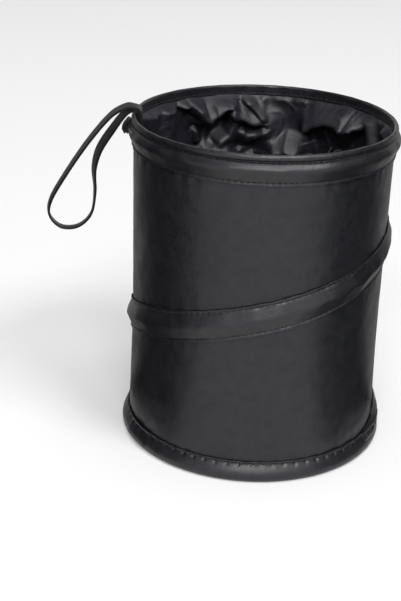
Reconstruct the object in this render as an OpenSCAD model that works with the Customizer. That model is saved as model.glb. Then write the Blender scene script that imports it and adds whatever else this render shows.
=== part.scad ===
// Pop-up bin for a car: a cloth tube held open by one spiral spring wire.
// Millimetres. The floor is z = 0, the bin stands about the Z axis, its hanging
// strap is on the -X side and it is seen from -Y.

/* [Bin] */
// Overall height, floor to the top of the rim
bin_h = 200; // [170:1:250]
// Outside diameter of the cloth wall where it meets the rim band
wall_d = 154.4; // [130:0.2:200]
// How far the wall draws in between the rim and the base, on the radius
waist = 0.9; // [0:0.1:2]
// How much wider than the rim the wall stands at its foot, on the radius
foot_flare = 0.8; // [0:0.1:1.5]

/* [Cloth] */
// Thickness of the wall cloth
wall_t = 0.5; // [0.3:0.05:0.8]
// Thickness of the base cloth
base_cloth_t = 0.5; // [0.3:0.05:0.8]
// Thickness of the liner cloth
liner_t = 0.4; // [0.2:0.05:0.6]
// Thickness of the binding tape
tape_t = 0.5; // [0.3:0.05:0.8]
// Clearance between layers that lie against each other
layer_gap = 0.15; // [0.1:0.05:0.3]

/* [Spring wire] */
// Diameter of the spring wire
wire_d = 1.6; // [1.2:0.1:2]
// Wall of the crimped ferrules
ferrule_wall = 0.25; // [0.2:0.05:0.4]
// Clearance of the wire in a ferrule
ferrule_gap = 0.12; // [0.1:0.01:0.15]
// Length of a ferrule along the ring, in degrees
ferrule_arc = 7; // [5:1:8]
// Room between the two strands held by a ferrule
strand_gap = 0.4; // [0.2:0.1:0.6]

/* [Spiral] */
// Angle at which the wire leaves the lower ring
ramp_start = -38; // [-50:1:-25]
// Turns from the lower ring up to the upper ring
ramp_turns = 1.625; // [1.55:0.005:1.7]
// Angle over which the slope of the wire builds up
ramp_ease = 20; // [15:1:25]

/* [Bands] */
// Height of the rim band
rim_band_h = 17.3; // [15:0.1:22]
// Depth of the rim band's ridge below the top of the rim
rim_ridge_drop = 8.4; // [7:0.1:9]
// Height of the rim band's facing inside the bin
rim_facing_h = 6.5; // [5:0.5:14]
// Height of the base band
base_band_h = 12.5; // [10:0.1:16]
// Radius of the base band's lower corner
base_corner_r = 3.2; // [3:0.1:3.6]
// Room between the wall and the base band at its widest
base_channel = 3.3; // [3.2:0.1:4]
// Width of the base band folded under the base
base_fold_w = 9; // [6:0.5:14]
// Height of the spiral band, edge to edge
spiral_band_h = 19; // [16:0.5:22]

/* [Seams] */
// Thickness of the sewing thread as it lies on the tape
thread_d = 0.4; // [0.3:0.05:0.5]
// Distance of a seam from the edge of its tape
seam_inset = 1.5; // [1:0.1:2.5]

/* [Strap] */
// Width of the hanging strap
strap_w = 9; // [6:0.5:14]
// Thickness of the folded tape of the strap
strap_t = 1.3; // [1:0.1:1.6]
// Angle from the -X side round to the strap
strap_turn = 3; // [-10:1:10]

/* [Liner] */
// Height of the liner's floor above the base cloth
liner_floor = 0.9; // [0.5:0.1:3]
// How high the liner's floor rises between its wrinkles
liner_floor_rise = 3; // [0:0.5:6]
// How far the liner's deepest fold reaches in
liner_fold = 16; // [5:0.5:19]

/* [Hidden] */

// Radii of the layers at the rim, from the outside in
rim_r = wall_d / 2;
liner_top_r = rim_r - wall_t - layer_gap;
facing_out_r = liner_top_r - liner_t - layer_gap;
facing_in_r = facing_out_r - tape_t;
// Rounding of the rim band's folded top edge
fold_round = 0.6;

// Heights of the bands
rim_low = bin_h - rim_band_h;
rim_ridge = bin_h - rim_ridge_drop;
facing_low = bin_h - rim_facing_h;
cloth_top = bin_h - tape_t - layer_gap;

// Foot of the wall and the layers under it
foot_r = rim_r + foot_flare;
base_cloth_z = tape_t + layer_gap;
wall_foot_z = base_cloth_z + base_cloth_t + layer_gap;
base_max_r = foot_r + layer_gap + base_channel + tape_t;
base_corner = [base_max_r - base_corner_r, base_corner_r];
base_fold_r = base_corner.x - base_fold_w;

// The ferrule's half thickness, and the channel of the tape that holds it
ferrule_r = wire_d / 2 + ferrule_gap + ferrule_wall;
channel_room = 0.15;
channel_h = 2 * (ferrule_r + channel_room);
channel_middle = layer_gap + channel_h / 2;

// Heights of the wire's rings, and of the second strand in each ferrule
strand_step = wire_d + strand_gap;
lower_ring_z = tape_t + ferrule_r + 0.3;
lower_strand_z = lower_ring_z + strand_step;
upper_ring_z = rim_ridge + strand_step / 2;
upper_strand_z = rim_ridge - strand_step / 2;

// Angles along the wire
ramp_end = ramp_start + 360 * ramp_turns;
ferrule_away = 8;
lower_ferrule_at = ramp_start - ferrule_away;
upper_ferrule_at = ramp_end + ferrule_away;
strand_rest = 6;
strand_rise = 24;
wire_overlap = 3;
wire_from = lower_ferrule_at - 360 - wire_overlap;
wire_to = upper_ferrule_at + 360 + wire_overlap;
// Turn of the wire from one of its points to the next
wire_turn = 5;

// How sharply the tape rises to its ridge over the wire
ridge_power = 1.4;
// Half the height of the spiral band
band_half = spiral_band_h / 2;
// Steps of the spiral band between the two ports, and in each port
band_steps = 100;
port_steps = 6;

// Ports where the wire passes the seam of the base band and of the rim band:
// there the tape's edge is open, up to the height at which its channel takes the wire
function wide_enough(room) =
    acos(pow((channel_middle + wire_d / 2) / room, 1 / ridge_power)) / 90;
ramp_slope = (upper_strand_z - lower_strand_z) / (360 * ramp_turns - ramp_ease);
function angle_at(z) = ramp_start + ramp_ease / 2 + (z - lower_strand_z) / ramp_slope;
base_port_z = mix(base_corner_r, base_band_h, wide_enough(base_channel));
rim_port_z = mix(rim_ridge, rim_low, wide_enough(channel_h));
port_margin = 3;
base_port_from = ramp_start + 0.7 * ramp_ease;
base_port_to = angle_at(base_band_h + wire_d / 2) + port_margin;
rim_port_from = angle_at(rim_low - wire_d / 2) - port_margin;
rim_port_to = ramp_end - 0.3 * ramp_ease;
port_gap = 0.3;
// Height that the spiral band's cut ends keep clear of the two bands
band_end_h = 0.6;

// Corners of the strap's loop as [outwards from the wall, up from the rim]
strap_pitch = strap_t + 0.25;
strap_inner = facing_in_r - 2 * layer_gap - thread_d - strap_t / 2 - rim_r;
strap_outer = strap_inner - strap_pitch;
strap_root = -(rim_facing_h + 1);
over_rim = 2 * layer_gap + strap_t / 2;
shoulder = [strap_inner + 0.5, over_rim];
crown = [0.4, over_rim + 0.7];
strap_points = [
    [strap_outer, strap_root], [strap_outer, -5], [strap_outer, -1.6],
    shoulder + strap_pitch * [-0.75, 0.66], crown + strap_pitch * [-0.1, 1.05],
    [5, over_rim + 1.9], [14, -3.2], [27.2, -19.6], [40.7, -40.2], [49.6, -56.5],
    [50.4, -66.4], [43.4, -73.3], [33, -72.4], [25, -64], [22.8, -50], [23.3, -36],
    [20.1, -23.4], [12.2, -10.6], [5.2, over_rim - 2.1], crown, shoulder,
    [strap_inner, -1.6], [strap_inner, -5], [strap_inner, strap_root]
];

// The strap's tail, folded over outside the rim band
tail_in = layer_gap + channel_h + tape_t + layer_gap;
tail_gap = 1;
tail_fold_r = strap_t + tail_gap / 2;
tail_top = 1 - rim_ridge_drop;
tail_leg = 6;

// Folds of the liner as [angle, half width, share of the deepest, lean from floor to rim]
liner_folds = [
    [18, 13, 0.56, 10], [47, 15, 0.88, -16], [76, 11, 0.56, 20], [101, 16, 1, 10],
    [128, 11, 0.56, -20], [151, 13, 0.88, 12], [178, 13, 0.5, 0], [206, 15, 0.75, 16],
    [233, 11, 0.56, -12], [262, 16, 0.81, 10], [292, 13, 0.62, -16], [320, 14, 0.81, 12],
    [345, 10, 0.44, 0]
];
liner_sides = 84;
liner_rows = 18;
liner_floor_rings = 3;
liner_floor_z = wall_foot_z + liner_floor;
// Room between the facing and the start of the folds
fold_away = 5;
// Height over which the folds grow to their full depth
fold_start = 28;
// Share of their depth that the folds keep at the floor
fold_at_floor = 0.35;

// Height stations for the turned profiles
profile_steps = 14;

function clamp01(t) = min(1, max(0, t));
function ease(t) = let (c = clamp01(t)) c * c * (3 - 2 * c);
function mix(a, b, t) = a + (b - a) * t;
function polar(r, a, z) = [r * cos(a), r * sin(a), z];

// Height of a tape over its flanges: 1 on its ridge, 0 at its edges
function ridge(u) = abs(u) >= 1 ? 0 : pow(cos(90 * u), ridge_power);

// Outer radius of the wall cloth at height z
function wall_r(z) =
    let (u = clamp01((z - base_band_h) / (rim_low - base_band_h)))
    rim_r - waist * sin(180 * pow(u, 0.75)) + foot_flare * pow(1 - u, 3);

// Height of the wire at angle a: ring, rise, spiral ramp, rise and ring
function ramp(t) =
    let (span = ramp_turns * 360, top = span - ramp_ease)
    t <= 0 ? 0
    : t >= span ? 1
    : t < ramp_ease ? t * t / (2 * ramp_ease * top)
    : t > top ? 1 - pow(span - t, 2) / (2 * ramp_ease * top)
    : (t - ramp_ease / 2) / top;
function wire_z(a) =
    lower_ring_z
    + strand_step * ease((a - lower_ferrule_at + strand_rest + strand_rise) / strand_rise)
    + (upper_strand_z - lower_strand_z) * ramp(a - ramp_start)
    + strand_step * ease((a - upper_ferrule_at - strand_rest) / strand_rise);

// Triangles of a tube of `rings` closed sections with `sides` points each
function tube_faces(rings, sides) = concat(
    [for (i = [0 : rings - 2], j = [0 : sides - 1])
        let (k = (j + 1) % sides) [i * sides + j, (i + 1) * sides + j, i * sides + k]],
    [for (i = [0 : rings - 2], j = [0 : sides - 1])
        let (k = (j + 1) % sides) [(i + 1) * sides + j, (i + 1) * sides + k, i * sides + k]],
    [[for (j = [0 : sides - 1]) j]],
    [[for (j = [sides - 1 : -1 : 0]) (rings - 1) * sides + j]]
);

// A point on a smooth curve through four points, between the middle two
function through(a, b, c, d, t) =
    0.5 * ((2 * b) + (c - a) * t + (2 * a - 5 * b + 4 * c - d) * t * t
    + (3 * b - a - 3 * c + d) * t * t * t);
function smooth_path(pts, steps) =
    let (n = len(pts) - 1)
    [for (i = [0 : n - 1], s = [0 : steps - 1])
        through(pts[max(0, i - 1)], pts[i], pts[i + 1], pts[min(n, i + 2)], s / steps),
     pts[n]];

// Outline of a strip of thickness t laid along a path
function strip_side(path, d) =
    let (n = len(path) - 1)
    [for (i = [0 : n])
        let (v = path[min(n, i + 1)] - path[max(0, i - 1)], u = v / norm(v))
        path[i] + d * [-u.y, u.x]];
module strip(path, t) {
    near_side = strip_side(path, -t / 2);
    far_side = strip_side(path, t / 2);
    last = len(path) - 1;
    polygon(concat(near_side, [for (i = [last : -1 : 0]) far_side[i]]));
}

// Stands an [outwards, up] drawing up in the plane of the strap, strap_w wide
module in_strap_plane() {
    rotate([0, 0, strap_turn])
        translate([-rim_r, strap_w / 2, bin_h])
            rotate([90, 0, 0])
                mirror([1, 0, 0])
                    linear_extrude(strap_w) children();
}

// A ring of round thread, and one that stops on both sides of a port
module thread_ring(r, z) {
    rotate_extrude($fn = 96) translate([r, z]) circle(d = thread_d, $fn = 16);
}
module thread_outside_port(r, z, from, to) {
    rotate([0, 0, to])
        rotate_extrude(angle = 360 - (to - from), $fn = 96)
            translate([r, z]) circle(d = thread_d, $fn = 16);
}

// A crimped sleeve round two strands, the lower one at height z
module ferrule(at, r, z) {
    rotate([0, 0, at - ferrule_arc / 2])
        rotate_extrude(angle = ferrule_arc, $fn = 96)
            difference() {
                two_strands(r, z, ferrule_r);
                two_strands(r, z, ferrule_r - ferrule_wall);
            }
}
module two_strands(r, z, half) {
    translate([r, z]) circle(r = half, $fn = 32);
    translate([r, z + strand_step]) circle(r = half, $fn = 32);
    translate([r - half, z]) square([2 * half, strand_step]);
}

// A window through a band's outer side, between two angles and two heights
module port(from, to, low, high) {
    rotate([0, 0, from])
        rotate_extrude(angle = to - from, $fn = 128)
            translate([rim_r + layer_gap / 3, low]) square([base_channel * 3, high - low]);
}

// Inner surface of the base band and of the rim band, seen in section
function base_in_r(z) =
    let (u = (z - base_corner_r) / (base_band_h - base_corner_r))
    foot_r + layer_gap + base_channel * ridge(u);
function rim_in_r(z) =
    let (u = z < rim_ridge ? (rim_ridge - z) / (rim_ridge - rim_low)
            : (z - rim_ridge) / (bin_h - fold_round - rim_ridge))
    rim_r + layer_gap + channel_h * ridge(u);

module base_band() {
    heights = [for (i = [0 : profile_steps]) mix(base_band_h, base_corner_r, i / profile_steps)];
    turns = [0 : 15 : 90];
    outer = [for (z = heights) [base_in_r(z) + tape_t, z]];
    outer_corner = [for (a = turns) base_corner + base_corner_r * [cos(a), -sin(a)]];
    inner_corner = [for (a = turns) base_corner + (base_corner_r - tape_t) * [cos(a), -sin(a)]];
    inner = [for (z = heights) [base_in_r(z), z]];
    color("#1c1c1e")
        difference() {
            rotate_extrude($fn = 128)
                polygon(concat(
                    outer, [for (i = [1 : 6]) outer_corner[i]],
                    [[base_fold_r, 0], [base_fold_r, tape_t]],
                    [for (i = [6 : -1 : 1]) inner_corner[i]],
                    [for (i = [profile_steps : -1 : 0]) inner[i]]
                ));
            port(base_port_from, base_port_to, base_port_z, base_band_h + 1);
        }
}

module base_cloth() {
    step_r = base_fold_r - layer_gap;
    step_w = base_cloth_t + 0.8;
    edge_r = foot_r - wall_t;
    color("#202022")
        rotate_extrude($fn = 128)
            polygon([
                [0, 0], [step_r - step_w, 0], [step_r, base_cloth_z], [edge_r, base_cloth_z],
                [edge_r, base_cloth_z + base_cloth_t],
                [step_r - base_cloth_t / 2, base_cloth_z + base_cloth_t],
                [step_r - step_w - base_cloth_t / 2, base_cloth_t], [0, base_cloth_t]
            ]);
}

module base_thread() {
    seam_z = base_band_h - seam_inset;
    away = tape_t + layer_gap + thread_d / 2;
    color("#2a2a2c")
        thread_outside_port(base_in_r(seam_z) + away, seam_z, base_port_from, base_port_to);
}

module lower_ferrule() {
    color("silver") ferrule(lower_ferrule_at, foot_r + channel_middle, lower_ring_z);
}

module upper_ferrule() {
    color("silver") ferrule(upper_ferrule_at, rim_r + channel_middle, upper_strand_z);
}

module spring_wire() {
    sides = 6;
    rings = ceil((wire_to - wire_from) / wire_turn) + 1;
    angles = [for (i = [0 : rings - 1]) mix(wire_from, wire_to, i / (rings - 1))];
    points = [for (a = angles, j = [0 : sides - 1])
        let (z = wire_z(a),
            slope = atan2((wire_z(a + 1) - wire_z(a - 1)) / 2, rim_r * PI / 180),
            r = wall_r(z) + channel_middle, side = 360 * j / sides, half = wire_d / 2)
        polar(r + half * cos(side), a, z)
            + half * sin(side) * [sin(slope) * sin(a), -sin(slope) * cos(a), cos(slope)]];
    color("#b8bcc0") polyhedron(points, tube_faces(rings, sides), convexity = 12);
}

module wall() {
    heights = [for (i = [0 : profile_steps]) mix(base_band_h, rim_low, i / profile_steps)];
    stations = concat([wall_foot_z], heights, [cloth_top]);
    last = len(stations) - 1;
    color("#232326")
        rotate_extrude($fn = 128)
            polygon(concat(
                [for (z = stations) [wall_r(z), z]],
                [for (i = [last : -1 : 0]) [wall_r(stations[i]) - wall_t, stations[i]]]
            ));
}

// Point of the spiral band at angle a and height z, off its inner face
function band_point(a, z, off) =
    let (u = (z - wire_z(a)) / band_half)
    polar(wall_r(z) + layer_gap + off + channel_h * ridge(u), a, z);

// Stations along the spiral band as [angle, lowest height, highest height]: it starts
// in the base band's port, climbs between the two bands and ends in the rim band's port
function band_stations() = concat(
    [for (i = [0 : port_steps])
        let (share = i / port_steps,
            a = mix(base_port_from + port_gap, base_port_to - 1, share),
            high = base_band_h + band_end_h + spiral_band_h * pow(share, 2))
        [a, base_port_z + port_gap, min(wire_z(a) + band_half, high)]],
    [for (i = [0 : band_steps])
        let (a = mix(base_port_to - port_gap, rim_port_from + port_gap, i / band_steps))
        [a, max(wire_z(a) - band_half, base_band_h + port_gap),
            min(wire_z(a) + band_half, rim_low - port_gap)]],
    [for (i = [0 : port_steps])
        let (share = i / port_steps,
            a = mix(rim_port_from + 1, rim_port_to - port_gap, share),
            low = rim_low - band_end_h - spiral_band_h * pow(1 - share, 2))
        [a, max(wire_z(a) - band_half, low), rim_port_z - port_gap]]
);

module spiral_band() {
    across = [0, 0.15, 0.3, 0.43, 0.57, 0.7, 0.85, 1];
    count = len(across);
    stations = band_stations();
    points = [for (s = stations)
        each concat(
            [for (u = across) band_point(s[0], mix(s[1], s[2], u), tape_t)],
            [for (j = [count - 1 : -1 : 0]) band_point(s[0], mix(s[1], s[2], across[j]), 0)]
        )];
    color("#1c1c1e") polyhedron(points, tube_faces(len(stations), 2 * count), convexity = 12);
}

// A seam along the spiral band, `up` from the wire, from one height to another
module spiral_seam(up, low, high) {
    half = thread_d / 2;
    from = angle_at(low - up);
    to = angle_at(high - up);
    points = [for (i = [0 : band_steps])
        let (a = mix(from, to, i / band_steps),
            p = band_point(a, wire_z(a) + up, tape_t + layer_gap + half))
        each [for (c = [45 : 90 : 315]) p + half * polar(cos(c), a, sin(c))]];
    polyhedron(points, tube_faces(band_steps + 1, 4), convexity = 12);
}

module spiral_threads() {
    up = band_half - seam_inset;
    color("#2a2a2c") {
        spiral_seam(-up, base_band_h + 1, rim_low - seam_inset - 1);
        spiral_seam(up, base_band_h + 2 * seam_inset, rim_low - 1);
    }
}

// How far the liner's folds reach in from the wall
function turn_between(a, b) = let (d = (a - b) % 360) d > 180 ? d - 360 : d < -180 ? d + 360 : d;
function fold_depth(a, z) =
    let (below = facing_low - fold_away - z,
        share = ease(below / fold_start) * mix(fold_at_floor, 1, ease(z / (bin_h / 3))),
        parts = [for (f = liner_folds)
            f[2] * exp(-pow(turn_between(a, f[0] + f[3] * (z / bin_h - 0.5)) / f[1], 2))])
    liner_fold * share * (parts * [for (p = parts) 1]);
function liner_r(a, z) = wall_r(z) - wall_t - layer_gap - fold_depth(a, z);
function floor_z(a, share) =
    liner_floor_z + liner_floor_rise * sin(180 * share) * (0.5 + 0.5 * sin(3 * a + 200 * share));

// Row 0 is the liner's top edge, row liner_rows its corner at the floor, and
// the rows after that are rings of its floor
function liner_point(a, row, inside) =
    let (t = inside * liner_t)
    row <= liner_rows
    ? let (share = row / liner_rows,
            z = mix(cloth_top, liner_floor_z, share),
            lift = row == liner_rows ? t : 0)
        polar(liner_r(a, z) - t, a, z + lift)
    : let (share = 1 - (row - liner_rows) / (liner_floor_rings + 1),
            z = floor_z(a, share))
        polar(share * liner_r(a, liner_floor_z), a, z + t);

module liner() {
    rows = liner_rows + liner_floor_rings + 1;
    n = liner_sides;
    skin = rows * n + 1;
    points = [for (inside = [0, 1])
        each concat(
            [for (row = [0 : rows - 1], j = [0 : n - 1]) liner_point(360 * j / n, row, inside)],
            [[0, 0, liner_floor_z + inside * liner_t]]
        )];
    // Squares between rows, the middle of the floor and the top edge
    side = [for (row = [0 : rows - 2], j = [0 : n - 1])
        let (k = (j + 1) % n) each [
            [row * n + j, row * n + k, (row + 1) * n + j],
            [row * n + k, (row + 1) * n + k, (row + 1) * n + j]]];
    middle = [for (j = [0 : n - 1]) [(rows - 1) * n + j, (rows - 1) * n + (j + 1) % n, rows * n]];
    out_side = concat(side, middle);
    in_side = [for (f = out_side) [f[0] + skin, f[2] + skin, f[1] + skin]];
    top = [for (j = [0 : n - 1])
        let (k = (j + 1) % n) each [[j, skin + j, k], [k, skin + j, skin + k]]];
    color("#48484c") polyhedron(points, concat(out_side, in_side, top), convexity = 12);
}

module rim_band() {
    top = bin_h - fold_round;
    heights = [for (i = [0 : 2 * profile_steps]) mix(rim_low, top, i / (2 * profile_steps))];
    turns = [30, 60, 90];
    out_r = rim_r + layer_gap + tape_t;
    color("#1c1c1e")
        difference() {
            rotate_extrude($fn = 128)
                polygon(concat(
                    [for (z = heights) [rim_in_r(z) + tape_t, z]],
                    [for (a = turns) [out_r - fold_round, top] + fold_round * [cos(a), sin(a)]],
                    [for (a = turns)
                        [facing_in_r + fold_round, top] + fold_round * [-sin(a), cos(a)]],
                    [[facing_in_r, facing_low], [facing_out_r, facing_low]],
                    [[facing_out_r, bin_h - tape_t], [rim_r + layer_gap, bin_h - tape_t]],
                    [for (i = [2 * profile_steps - 1 : -1 : 0])
                        [rim_in_r(heights[i]), heights[i]]]
                ));
            port(rim_port_from, rim_port_to, rim_low - 1, rim_port_z);
        }
}

module rim_threads() {
    low = rim_low + seam_inset;
    high = bin_h - seam_inset - fold_round;
    inside = facing_low + seam_inset;
    away = tape_t + layer_gap + thread_d / 2;
    color("#2a2a2c") {
        thread_outside_port(rim_in_r(low) + away, low, rim_port_from, rim_port_to);
        thread_ring(rim_in_r(high) + away, high);
        thread_ring(facing_in_r - layer_gap - thread_d / 2, inside);
    }
}

module hang_strap() {
    color("#18181a") in_strap_plane() strip(smooth_path(strap_points, 5), strap_t);
}

module strap_tail() {
    middle = tail_in + tail_fold_r;
    color("#18181a")
        in_strap_plane()
            difference() {
                union() {
                    translate([middle, tail_top]) circle(r = tail_fold_r, $fn = 48);
                    translate([tail_in, tail_top - tail_leg])
                        square([2 * tail_fold_r, tail_leg]);
                }
                translate([middle, tail_top]) circle(d = tail_gap, $fn = 48);
                translate([middle - tail_gap / 2, tail_top - tail_leg - 1])
                    square([tail_gap, tail_leg + 1]);
            }
}

base_band();
base_cloth();
base_thread();
lower_ferrule();
spring_wire();
wall();
spiral_band();
spiral_threads();
liner();
rim_band();
rim_threads();
upper_ferrule();
hang_strap();
strap_tail();
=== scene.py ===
"""Looks of a pop-up bin for a car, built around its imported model.

Lengths are millimetres and angles are degrees, until a mesh, a lamp or the camera is made.
Angles go about the Z axis from +X: the front is at -90 and the hanging strap at 180.
"""
import math

import bpy
import numpy as np
from mathutils import Matrix, Vector


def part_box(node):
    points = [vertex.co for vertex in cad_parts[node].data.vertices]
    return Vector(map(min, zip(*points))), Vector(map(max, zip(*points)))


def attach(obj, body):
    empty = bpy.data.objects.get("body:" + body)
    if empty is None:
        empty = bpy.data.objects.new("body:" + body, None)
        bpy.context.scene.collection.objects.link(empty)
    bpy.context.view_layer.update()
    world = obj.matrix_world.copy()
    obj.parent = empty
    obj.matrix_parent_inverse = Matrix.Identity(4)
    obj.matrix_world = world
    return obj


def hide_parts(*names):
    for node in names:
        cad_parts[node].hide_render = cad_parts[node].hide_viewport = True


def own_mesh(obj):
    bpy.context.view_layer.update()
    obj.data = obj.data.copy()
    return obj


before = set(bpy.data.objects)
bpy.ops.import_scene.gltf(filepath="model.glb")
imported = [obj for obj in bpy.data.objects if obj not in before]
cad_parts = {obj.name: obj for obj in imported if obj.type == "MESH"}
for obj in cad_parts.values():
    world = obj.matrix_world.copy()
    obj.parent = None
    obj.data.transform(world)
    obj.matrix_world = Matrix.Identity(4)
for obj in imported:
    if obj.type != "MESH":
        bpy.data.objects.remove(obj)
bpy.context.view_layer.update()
MM = 0.001


def low_of(node):
    return np.array(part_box(node)[0]) / MM


def high_of(node):
    return np.array(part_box(node)[1]) / MM


# Sizes that the frame gives
BIN_H = high_of("rim_band")[2]
RIM_LOW = low_of("rim_band")[2]
BASE_BAND_H = high_of("base_band")[2]
BASE_MAX_R = high_of("base_band")[0]
FOOT_R = high_of("wall")[0]
WALL_FOOT_Z = low_of("wall")[2]
LINER_FLOOR_Z = low_of("liner")[2]

# Sizes that the solids are drawn with
WAIST = 0.9
FOOT_FLARE = 0.8
WALL_T = 0.5
TAPE_T = 0.5
LINER_T = 0.4
LAYER_GAP = 0.15
WIRE_D = 1.6
CHANNEL_H = 2.64
RIDGE_DROP = 8.4
FACING_H = 6.5
BASE_CORNER_R = 3.2
BASE_CHANNEL = 3.3
BASE_FOLD_W = 9
BAND_HALF = 9.5
SEAM_INSET = 1.5
THREAD_D = 0.4
STRAP_W = 9
STRAP_T = 1.3
STRAP_TURN = 3
RIM_R = FOOT_R - FOOT_FLARE
RIM_RIDGE = BIN_H - RIDGE_DROP
FACING_LOW = BIN_H - FACING_H
RIM_GIRTH = 2 * np.pi * RIM_R
TURN = 360

# The wire: its two rings and the ramp between them
RAMP_START = -38
RAMP_SPAN = 1.625 * TURN
RAMP_EASE = 20
RAMP_END = RAMP_START + RAMP_SPAN
LOWER_RING_Z = 1.97
STRAND_STEP = 2
LOWER_STRAND_Z = LOWER_RING_Z + STRAND_STEP
UPPER_STRAND_Z = RIM_RIDGE - STRAND_STEP / 2
FERRULE_AWAY = 8
STRAND_REST = 6
STRAND_RISE = 24


def ease(t):
    t = np.clip(t, 0, 1)
    return t * t * (3 - 2 * t)


def mix(a, b, t):
    return a + (b - a) * t


def polar(r, angle, z):
    turn = np.radians(angle)
    return np.stack(np.broadcast_arrays(r * np.cos(turn), r * np.sin(turn), z), -1)


def rotated(x, y, angle):
    """A flat point turned about the origin."""
    c, s = np.cos(np.radians(angle)), np.sin(np.radians(angle))
    return x * c - y * s, x * s + y * c


def girth_at(angle):
    """Distance round the rim at an angle."""
    return np.radians(angle) * RIM_R


def within_half_turn(angle):
    """The same angle, from -180 to 180."""
    return (angle + 180) % TURN - 180


def wall_r(z):
    """Outer radius of the wall cloth at height z."""
    u = np.clip((z - BASE_BAND_H) / (RIM_LOW - BASE_BAND_H), 0, 1)
    return RIM_R - WAIST * np.sin(np.pi * u**0.75) + FOOT_FLARE * (1 - u) ** 3


def wire_z(angle):
    """Height of the wire along its turns: ring, rise, ramp, rise and ring."""
    t = np.clip(np.asarray(angle, float) - RAMP_START, 0, RAMP_SPAN)
    top = RAMP_SPAN - RAMP_EASE
    ramp = np.where(
        t < RAMP_EASE, t * t / (2 * RAMP_EASE * top),
        np.where(t > top, 1 - (RAMP_SPAN - t) ** 2 / (2 * RAMP_EASE * top),
                 (t - RAMP_EASE / 2) / top))
    first = ease((angle - RAMP_START + FERRULE_AWAY + STRAND_REST + STRAND_RISE) / STRAND_RISE)
    last = ease((angle - RAMP_END - FERRULE_AWAY - STRAND_REST) / STRAND_RISE)
    climb = (UPPER_STRAND_Z - LOWER_STRAND_Z) * ramp
    return LOWER_RING_Z + STRAND_STEP * (first + last) + climb


def tent(u, round_off=0.09):
    """A tape over the wire in section: 1 on its crest, 0 where it lies on the wall."""
    edge = math.hypot(1, round_off)
    return np.where(np.abs(u) >= 1, 0, (edge - np.hypot(u, round_off)) / (edge - round_off))


def waves(along, across, seed, size, girth=RIM_GIRTH):
    """Smooth random waves about `size` long, which close on themselves after `girth`."""
    rng = np.random.default_rng(seed)
    count = 14
    total = 0
    for _ in range(count):
        heading = rng.uniform(0, 2 * np.pi)
        length = size * rng.uniform(0.7, 1.5)
        turns = round(girth * math.cos(heading) / length)
        phase = rng.uniform(0, 2 * np.pi)
        total += np.cos(
            2 * np.pi * (turns * along / girth + math.sin(heading) * across / length) + phase)
    return total / math.sqrt(count / 2)


def flat_waves(r, angle, seed, size):
    """Smooth random waves on a flat floor."""
    x, y, _ = np.moveaxis(polar(r, angle, 0), -1, 0)
    return waves(x, y, seed, size, girth=400)


def ripple(angle, seed, waviest):
    """A random wavy line round the bin with up to `waviest` waves a turn, about 1 high."""
    rng = np.random.default_rng(seed)
    count = 10
    total = 0
    for _ in range(count):
        turns = rng.integers(max(2, waviest // 3), waviest + 1)
        total += np.cos(np.radians(turns * angle) + rng.uniform(0, 2 * np.pi))
    return total / math.sqrt(count)


def frill(angle, seed, waviest):
    """A ripple from about 0 to 1."""
    return (1 + ripple(angle, seed, waviest)) / 2


# Meshes

def grid_faces(rows, cols, ring_rows, ring_cols):
    """Quads of a grid of points, and the place of each corner in a grid that doesn't close."""
    i = np.arange(rows if ring_rows else rows - 1)
    j = np.arange(cols if ring_cols else cols - 1)
    i, j = (x.ravel() for x in np.meshgrid(i, j, indexing="ij"))
    corners = [(i, j), (i + 1, j), (i + 1, j + 1), (i, j + 1)]
    faces = np.stack([(a % rows) * cols + b % cols for a, b in corners], 1)
    places = np.stack([a * (cols + 1) + b for a, b in corners], 1)
    return faces, places


def volume(points, faces):
    a, b, c, d = (points[faces[:, k]] for k in range(4))
    return np.sum(np.cross(a, b) * c) + np.sum(np.cross(a, c) * d)


def new_object(name, data):
    obj = bpy.data.objects.new(name, data)
    bpy.context.scene.collection.objects.link(obj)
    return obj


def add_mesh(name, points, polygons, look, uv=None):
    """A mesh object in metres. uv holds the cloth coordinates of each corner of its faces."""
    mesh = bpy.data.meshes.new(name)
    mesh.from_pydata(points, [], polygons)
    if uv is not None:
        layer = mesh.uv_layers.new(name="cloth")
        layer.data.foreach_set("uv", uv.astype(np.float32).ravel())
        mesh.polygons.foreach_set("use_smooth", np.ones(len(polygons), bool))
    mesh.materials.append(look)
    mesh.update()
    return new_object(name, mesh)


def piece(name, points, along, across, look, ring_rows=False, ring_cols=False,
          end_lids=False, hub=False, sharp=50):
    """A smooth object on a grid of points, with cloth coordinates in millimetres.

    along is for each row and one more, and across for each column and one more. A hub is a
    face inside the last column of a grid whose rows go round."""
    rows, cols = points.shape[:2]
    faces, places = grid_faces(rows, cols, ring_rows, ring_cols)
    flat = points.reshape(-1, 3)
    uv = np.stack(np.broadcast_arrays(along[:, None], across), -1).reshape(-1, 2)
    polygons, corners = faces.tolist(), places.tolist()
    if end_lids:
        first = list(range(cols))
        polygons += [first[::-1], [k + (rows - 1) * cols for k in first]]
        corners += [first, first]
    if hub:
        polygons.append([k * cols + cols - 1 for k in range(rows)])
        corners.append(list(range(rows)))
    if volume(flat, faces) < 0:
        polygons = [p[::-1] for p in polygons]
        corners = [c[::-1] for c in corners]
    obj = add_mesh(name, (flat * MM).tolist(), polygons, look, uv[np.concatenate(corners)])
    obj.data.set_sharp_from_angle(angle=math.radians(sharp))
    return obj


def thicken(obj, thick):
    """Gives a sheet its thickness, behind its faces."""
    solid = obj.modifiers.new("thickness", "SOLIDIFY")
    solid.thickness = thick * MM
    solid.offset = -1
    return obj


def heading(path):
    """Unit vectors along paths, whose points lie along the last axis but one."""
    step = np.gradient(path, axis=-2)
    return step / np.linalg.norm(step, axis=-1, keepdims=True)


def run_of(path):
    """Distance along paths to each of their points."""
    steps = np.linalg.norm(np.diff(path, axis=-2), axis=-1)
    return np.concatenate([np.zeros_like(steps[..., :1]), np.cumsum(steps, -1)], -1)


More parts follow.
